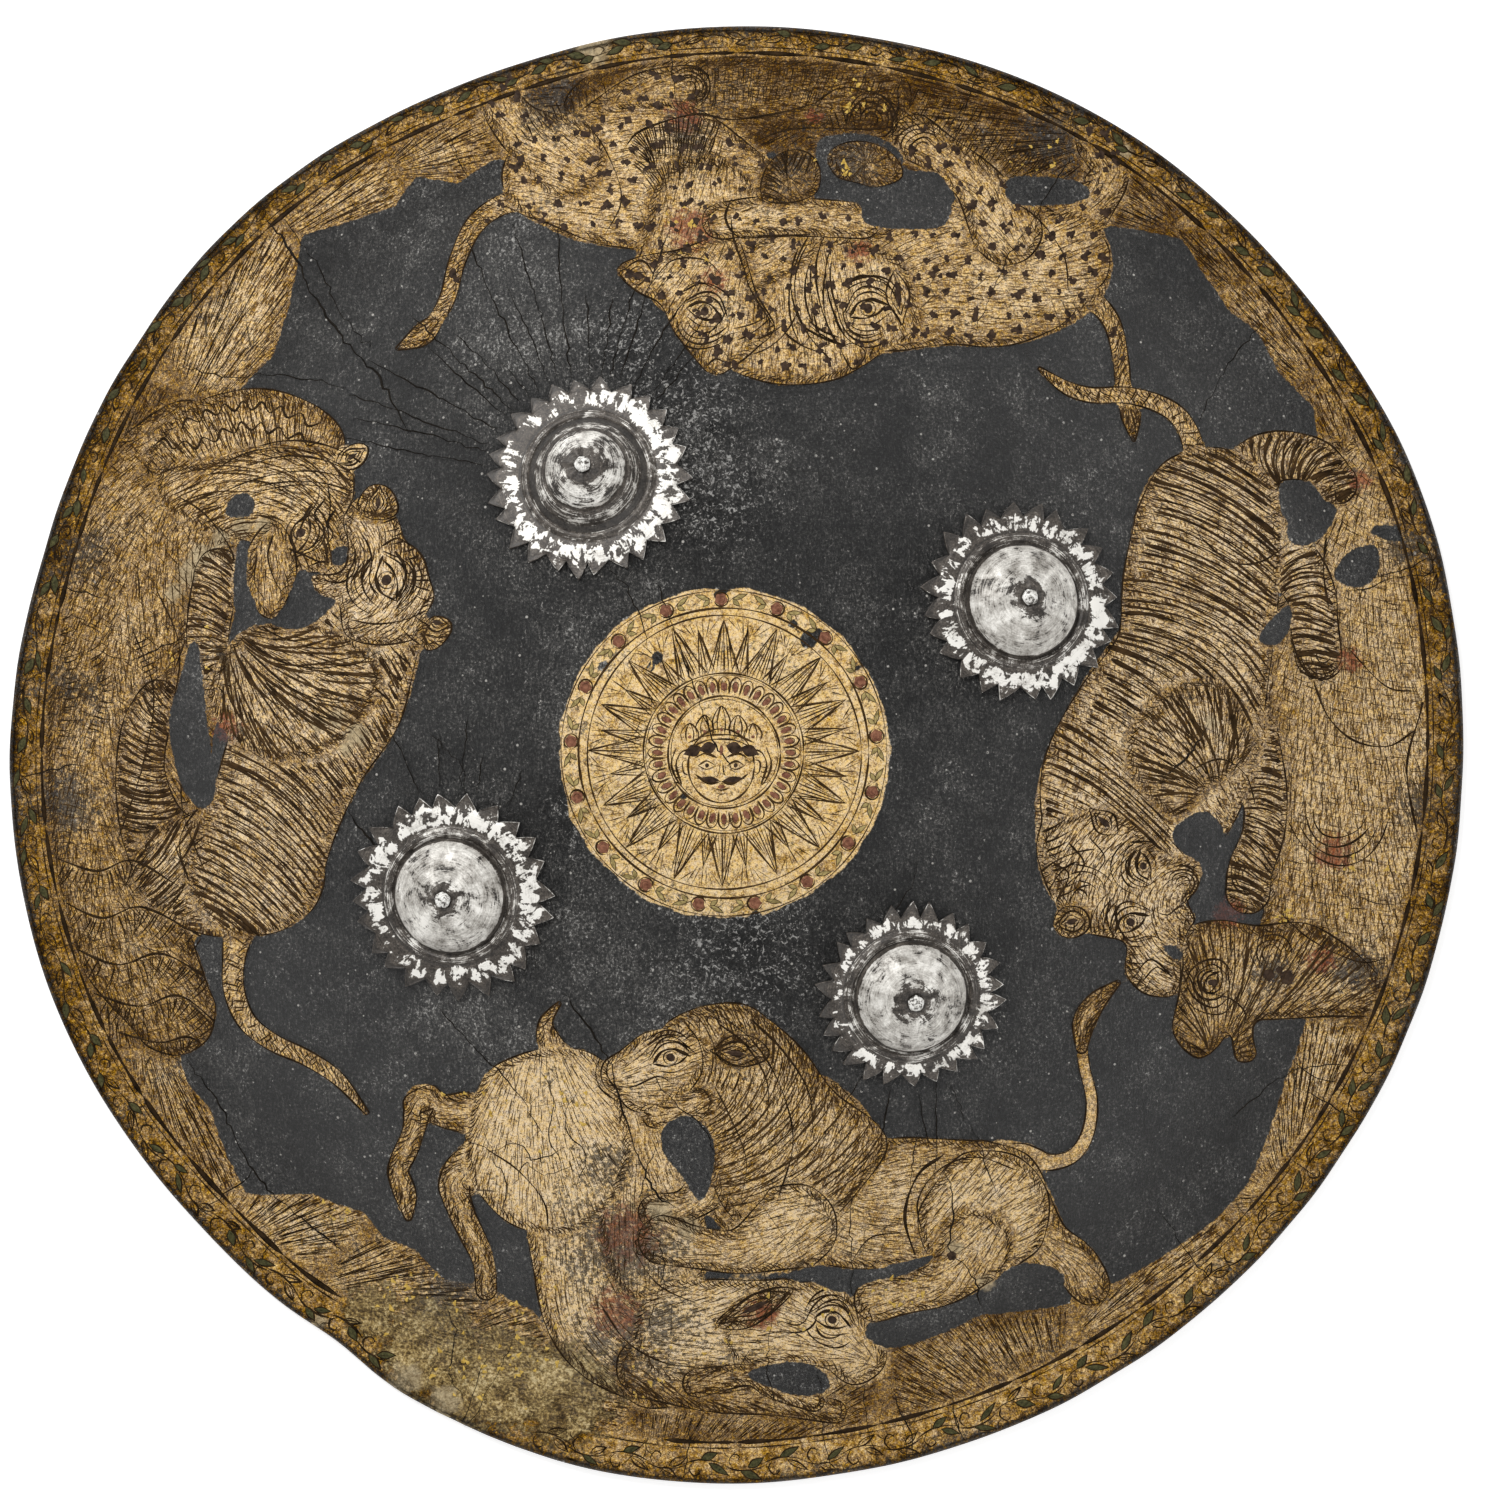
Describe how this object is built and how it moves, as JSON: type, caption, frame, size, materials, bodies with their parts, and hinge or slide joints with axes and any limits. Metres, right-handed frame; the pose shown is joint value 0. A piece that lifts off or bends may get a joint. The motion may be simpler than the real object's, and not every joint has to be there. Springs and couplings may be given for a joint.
{
  "type": "dhal shield",
  "caption": "Round domed hide shield, lacquered black and painted in gold with fighting animals, a sun medallion and a leaf border, with rayed silver bosses and a pair of grips behind.",
  "frame": {"origin": "under the middle of the shield, on the plane that the rim lies on", "axes": "+Z out of the painted face, +Y towards the top of the painting, +X towards its right"},
  "size_m": [0.5599, 0.5614, 0.0899],
  "materials": {
    "painted_hide": "near-black lacquer painted in worn gold, crazed, with an olive loss at the lower left rim",
    "silvered_sheet": "worn silvering over dark brown tarnish",
    "eye_bolt_iron": "hammered, dark",
    "rawhide_grip": "dark rawhide, rubbed by hands"
  },
  "bodies": {
    "root": {"shield_body": "painted_hide", "boss_upper_left": "silvered_sheet", "boss_upper_right": "silvered_sheet", "boss_lower_right": "silvered_sheet", "boss_lower_left": "silvered_sheet", "eye_bolt_upper_left": "eye_bolt_iron", "eye_bolt_upper_right": "eye_bolt_iron", "eye_bolt_lower_right": "eye_bolt_iron", "eye_bolt_lower_left": "eye_bolt_iron", "grip_left": "rawhide_grip", "grip_right": "rawhide_grip"}
  },
  "joints": []
}
